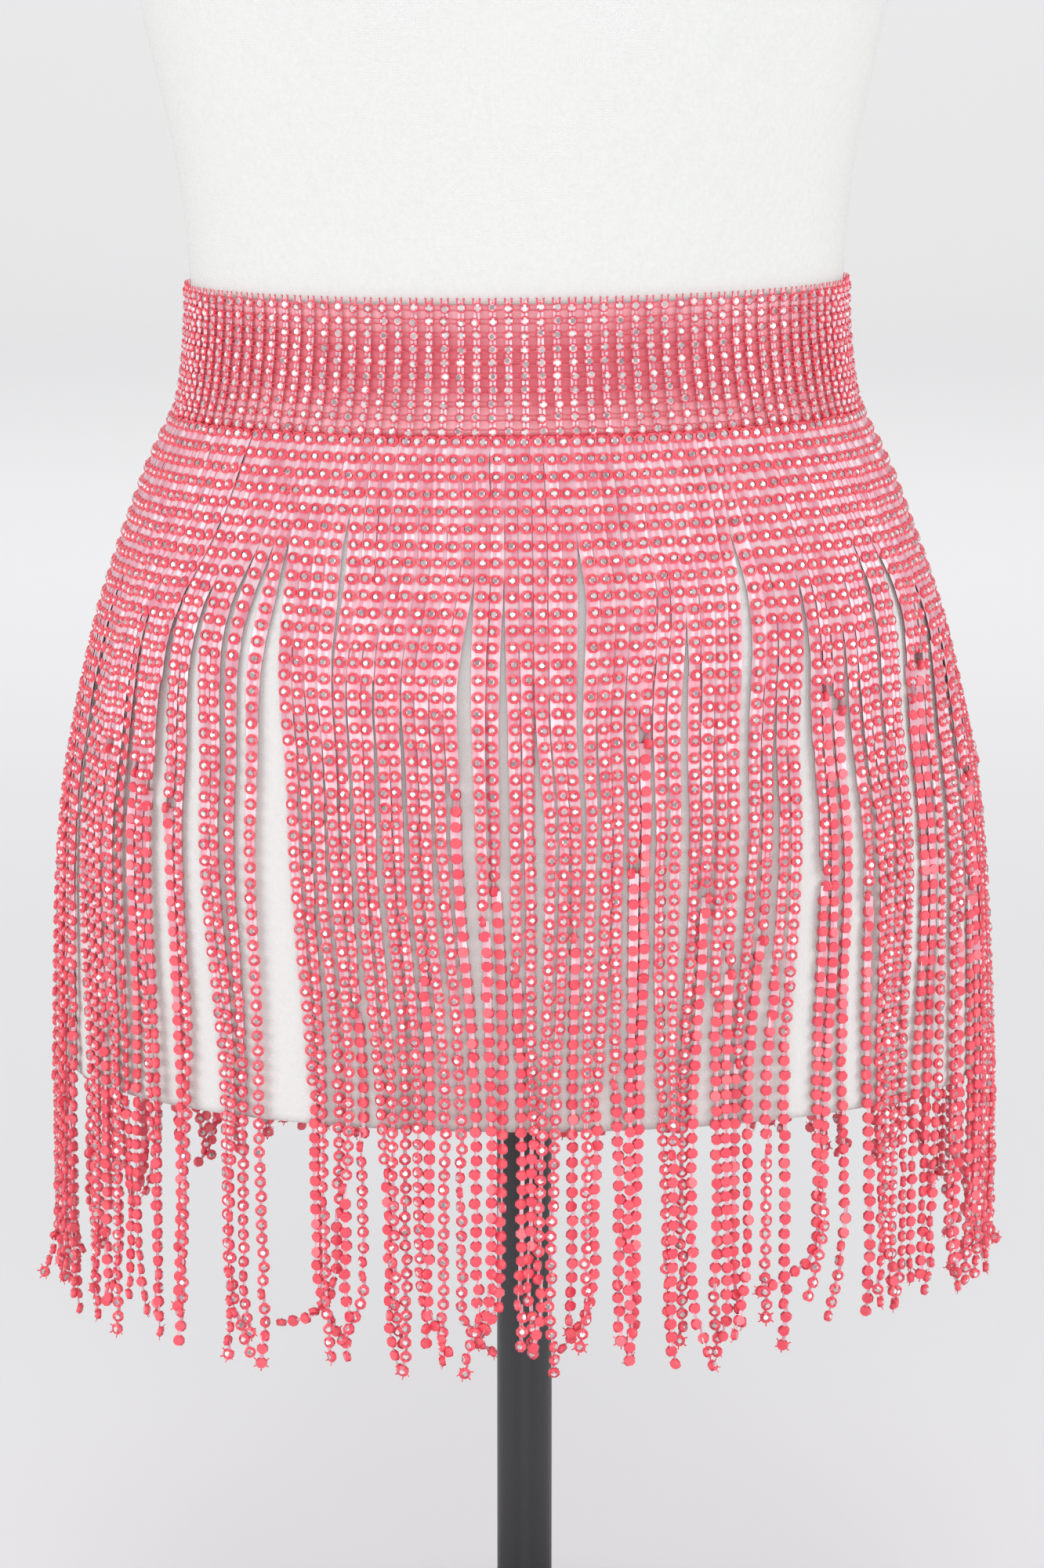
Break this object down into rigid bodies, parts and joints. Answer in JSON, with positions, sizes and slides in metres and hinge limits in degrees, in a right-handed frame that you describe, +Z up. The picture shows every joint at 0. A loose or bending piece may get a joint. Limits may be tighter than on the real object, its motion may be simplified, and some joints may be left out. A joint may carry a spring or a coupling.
{
  "type": "rhinestone fringe belt on a limbless dress form stand",
  "caption": "Stone-mesh waistband with a long all-round strand fringe, closed at the back by a slide clasp, worn by a limbless dress form on a pole and round base.",
  "frame": {"origin": "on the table, under the middle of the round base", "axes": "+Z up, the belt's front towards -Y"},
  "size_m": [0.38, 0.38, 1],
  "materials": {
    "band_stones": "coral pink lacquered settings with clear faceted stones",
    "fringe_stones": "coral pink lacquered settings with clear faceted stones",
    "clasp_metal": "coral pink lacquer on brass",
    "form_linen": "plain woven linen over a padded form",
    "stand_black": "satin black powder coat"
  },
  "bodies": {
    "root": {"waistband": "band_stones", "fringe_back_left": "fringe_stones", "fringe_side_left": "fringe_stones", "fringe_front_left": "fringe_stones", "fringe_front_right": "fringe_stones", "fringe_side_right": "fringe_stones", "fringe_back_right": "fringe_stones", "clasp_socket": "clasp_metal", "clasp_tongue": "clasp_metal", "form_torso": "form_linen", "pole": "stand_black", "base": "stand_black"}
  },
  "joints": []
}
